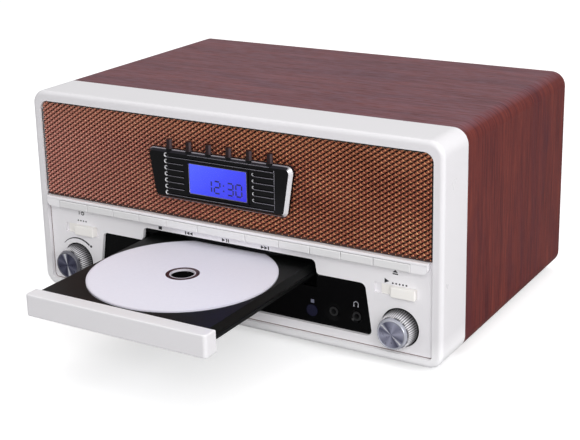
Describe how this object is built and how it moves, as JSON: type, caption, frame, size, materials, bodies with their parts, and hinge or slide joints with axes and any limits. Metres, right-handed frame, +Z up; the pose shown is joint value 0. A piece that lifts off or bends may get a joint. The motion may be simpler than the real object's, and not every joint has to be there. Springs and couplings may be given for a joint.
{
  "type": "stereo music centre",
  "caption": "Table-top stereo: wood-wrapped cabinet, woven speaker grille, display unit, keys, knobs, slide switches and a disc drawer that slides out and in.",
  "frame": {"origin": "on the surface the feet stand on, under the middle of the whole object's box with the drawer open", "axes": "+Z up; -Y out of the front, the way the disc drawer opens; +X to the right seen from the front"},
  "size_m": [0.312, 0.3258, 0.148],
  "materials": {
    "wood_film": "satin printed wood film on board",
    "white_plastic": "smooth off-white moulding",
    "black_panel": "gloss black",
    "black_plastic": "satin black",
    "grille_metal": "woven copper-coloured mesh",
    "baffle_board": "painted board",
    "steel": "plated steel",
    "magnet": "ferrite",
    "cone_paper": "pressed paper",
    "surround_rubber": "soft rubber",
    "feet_rubber": "matt rubber",
    "chrome": "polished and knurled",
    "display_black": "dark bright-plated moulding",
    "lens_clear": "clear window",
    "screen": "lit blue screen",
    "blue_lens": "tinted lens",
    "cream_plastic": "satin cream moulding",
    "disc_print": "printed label side",
    "grey_plastic": "moulded",
    "gear_plastic": "acetal",
    "belt_rubber": "square belt",
    "brass": "turned",
    "aluminium": "extruded",
    "board_green": "circuit board",
    "core_iron": "laminations",
    "panel_black": "matt rear board"
  },
  "bodies": {
    "cabinet": {"cabinet_shell": "wood_film", "front_bezel": "white_plastic", "rear_panel": "panel_black", "feet": "feet_rubber", "mains_inlet": "black_plastic", "grille_mesh": "grille_metal", "speaker_baffle": "baffle_board", "speaker_frames": "magnet", "speaker_surrounds": "surround_rubber", "control_panel": "white_plastic", "key_board": "board_green", "fascia": "black_panel", "audio_jacks": "black_plastic", "indicator_lens": "blue_lens", "control_bodies": "steel", "display_housing": "display_black", "display_lens": "lens_clear", "display_module": "screen", "loader_chassis": "grey_plastic", "drive_belt": "belt_rubber", "loading_motor": "steel", "clamp_bridge": "steel", "main_board": "board_green", "heat_sink": "aluminium", "transformer": "core_iron", "screws": "steel"},
    "drawer": {"tray_carrier": "black_plastic", "tray_front": "white_plastic"},
    "disc": {"disc": "disc_print"},
    "drive_gear": {"drive_gear": "gear_plastic"},
    "belt_pulley": {"belt_pulley": "gear_plastic"},
    "motor_pulley": {"motor_pulley": "brass"},
    "cam_slide": {"cam_slide": "gear_plastic"},
    "traverse": {"traverse": "grey_plastic", "traverse_motors": "steel", "guide_rods": "steel"},
    "turntable": {"turntable": "grey_plastic"},
    "clamp_puck": {"clamp_puck": "gear_plastic"},
    "pickup_sled": {"pickup_sled": "aluminium"},
    "feed_gear": {"feed_gear": "gear_plastic"},
    "feed_pinion": {"feed_pinion": "brass"},
    "volume": {"volume_knob": "chrome", "volume_shaft": "aluminium"},
    "tuning": {"tuning_knob": "chrome", "tuning_shaft": "aluminium"},
    "band_switch": {"band_switch_cap": "cream_plastic"},
    "mute_switch": {"mute_switch_cap": "cream_plastic"},
    "cone_left": {"speaker_cone_left": "cone_paper"},
    "cone_right": {"speaker_cone_right": "cone_paper"},
    "key_standby": {"key_standby": "white_plastic"},
    "key_function": {"key_function": "white_plastic"},
    "key_memory": {"key_memory": "white_plastic"},
    "key_stop": {"key_stop": "white_plastic"},
    "key_previous": {"key_previous": "white_plastic"},
    "key_play": {"key_play": "white_plastic"},
    "key_next": {"key_next": "white_plastic"},
    "key_folder": {"key_folder": "white_plastic"},
    "key_clock": {"key_clock": "white_plastic"},
    "key_mode": {"key_mode": "white_plastic"},
    "key_eject": {"key_eject": "white_plastic"}
  },
  "joints": [
    {"name": "drawer_slide", "type": "slide", "parent": "cabinet", "child": "drawer", "axis": [0, 1, 0], "range_m": [0, 0.118]},
    {"name": "disc_spin", "type": "hinge", "parent": "drawer", "child": "disc", "pos_m": [0, -0.09115, 0.0543], "axis": [0, 0, 1], "continuous": true},
    {"name": "drive_gear_spin", "type": "hinge", "parent": "cabinet", "child": "drive_gear", "pos_m": [-0.038, -0.01645, 0.046], "axis": [0, 0, 1], "range_deg": [-564, 0]},
    {"name": "belt_pulley_spin", "type": "hinge", "parent": "cabinet", "child": "belt_pulley", "pos_m": [-0.018, -0.01645, 0.039], "axis": [0, 0, 1], "range_deg": [0, 1315]},
    {"name": "motor_pulley_spin", "type": "hinge", "parent": "cabinet", "child": "motor_pulley", "pos_m": [0.016, -0.01645, 0.039], "axis": [0, 0, 1], "range_deg": [0, 3945]},
    {"name": "traverse_lift", "type": "slide", "parent": "cabinet", "child": "traverse", "axis": [0, 0, 1], "range_m": [0, 0.0042]},
    {"name": "cam_slide_move", "type": "slide", "parent": "cabinet", "child": "cam_slide", "axis": [1, 0, 0], "range_m": [0, 0.012]},
    {"name": "turntable_spin", "type": "hinge", "parent": "traverse", "child": "turntable", "pos_m": [0, 0.02685, 0.048], "axis": [0, 0, 1], "continuous": true},
    {"name": "clamp_spin", "type": "hinge", "parent": "cabinet", "child": "clamp_puck", "pos_m": [0, 0.02685, 0.058], "axis": [0, 0, 1], "continuous": true},
    {"name": "sled_slide", "type": "slide", "parent": "traverse", "child": "pickup_sled", "axis": [0, 1, 0], "range_m": [0, 0.034]},
    {"name": "feed_gear_spin", "type": "hinge", "parent": "traverse", "child": "feed_gear", "pos_m": [-0.036, 0.07305, 0.042], "axis": [0, 0, 1], "range_deg": [0, 244]},
    {"name": "feed_pinion_spin", "type": "hinge", "parent": "traverse", "child": "feed_pinion", "pos_m": [-0.036, 0.08505, 0.042], "axis": [0, 0, 1], "range_deg": [-488, 0]},
    {"name": "key_standby_press", "type": "slide", "parent": "cabinet", "child": "key_standby", "axis": [0, 1, 0], "range_m": [0, 0.001], "stiffness_N_per_m": 600, "springref_m": -0.0005},
    {"name": "key_function_press", "type": "slide", "parent": "cabinet", "child": "key_function", "axis": [0, 1, 0], "range_m": [0, 0.001], "stiffness_N_per_m": 600, "springref_m": -0.0005},
    {"name": "key_memory_press", "type": "slide", "parent": "cabinet", "child": "key_memory", "axis": [0, 1, 0], "range_m": [0, 0.001], "stiffness_N_per_m": 600, "springref_m": -0.0005},
    {"name": "key_stop_press", "type": "slide", "parent": "cabinet", "child": "key_stop", "axis": [0, 1, 0], "range_m": [0, 0.001], "stiffness_N_per_m": 600, "springref_m": -0.0005},
    {"name": "key_previous_press", "type": "slide", "parent": "cabinet", "child": "key_previous", "axis": [0, 1, 0], "range_m": [0, 0.001], "stiffness_N_per_m": 600, "springref_m": -0.0005},
    {"name": "key_play_press", "type": "slide", "parent": "cabinet", "child": "key_play", "axis": [0, 1, 0], "range_m": [0, 0.001], "stiffness_N_per_m": 600, "springref_m": -0.0005},
    {"name": "key_next_press", "type": "slide", "parent": "cabinet", "child": "key_next", "axis": [0, 1, 0], "range_m": [0, 0.001], "stiffness_N_per_m": 600, "springref_m": -0.0005},
    {"name": "key_folder_press", "type": "slide", "parent": "cabinet", "child": "key_folder", "axis": [0, 1, 0], "range_m": [0, 0.001], "stiffness_N_per_m": 600, "springref_m": -0.0005},
    {"name": "key_clock_press", "type": "slide", "parent": "cabinet", "child": "key_clock", "axis": [0, 1, 0], "range_m": [0, 0.001], "stiffness_N_per_m": 600, "springref_m": -0.0005},
    {"name": "key_mode_press", "type": "slide", "parent": "cabinet", "child": "key_mode", "axis": [0, 1, 0], "range_m": [0, 0.001], "stiffness_N_per_m": 600, "springref_m": -0.0005},
    {"name": "key_eject_press", "type": "slide", "parent": "cabinet", "child": "key_eject", "axis": [0, 1, 0], "range_m": [0, 0.001], "stiffness_N_per_m": 600, "springref_m": -0.0005},
    {"name": "volume_turn", "type": "hinge", "parent": "cabinet", "child": "volume", "pos_m": [-0.1266, -0.04495, 0.026], "axis": [0, 1, 0], "range_deg": [-150, 150]},
    {"name": "tuning_turn", "type": "hinge", "parent": "cabinet", "child": "tuning", "pos_m": [0.1266, -0.04495, 0.026], "axis": [0, 1, 0], "continuous": true},
    {"name": "band_switch_slide", "type": "slide", "parent": "cabinet", "child": "band_switch", "axis": [1, 0, 0], "range_m": [-0.002, 0.002]},
    {"name": "mute_switch_slide", "type": "slide", "parent": "cabinet", "child": "mute_switch", "axis": [1, 0, 0], "range_m": [-0.0046, 0]},
    {"name": "cone_left_move", "type": "slide", "parent": "cabinet", "child": "cone_left", "axis": [0, 1, 0], "range_m": [-0.0015, 0.0015], "stiffness_N_per_m": 800},
    {"name": "cone_right_move", "type": "slide", "parent": "cabinet", "child": "cone_right", "axis": [0, 1, 0], "range_m": [-0.0015, 0.0015], "stiffness_N_per_m": 800}
  ],
  "couplings": [
    {"joint": "drive_gear_spin", "follows": "drawer_slide", "rad_per_m": -83.333},
    {"joint": "belt_pulley_spin", "follows": "drawer_slide", "rad_per_m": 194.44},
    {"joint": "motor_pulley_spin", "follows": "drawer_slide", "rad_per_m": 583.33},
    {"joint": "cam_slide_move", "follows": "traverse_lift", "ratio": 2.8571},
    {"joint": "feed_gear_spin", "follows": "sled_slide", "rad_per_m": 125},
    {"joint": "feed_pinion_spin", "follows": "sled_slide", "rad_per_m": -250}
  ]
}
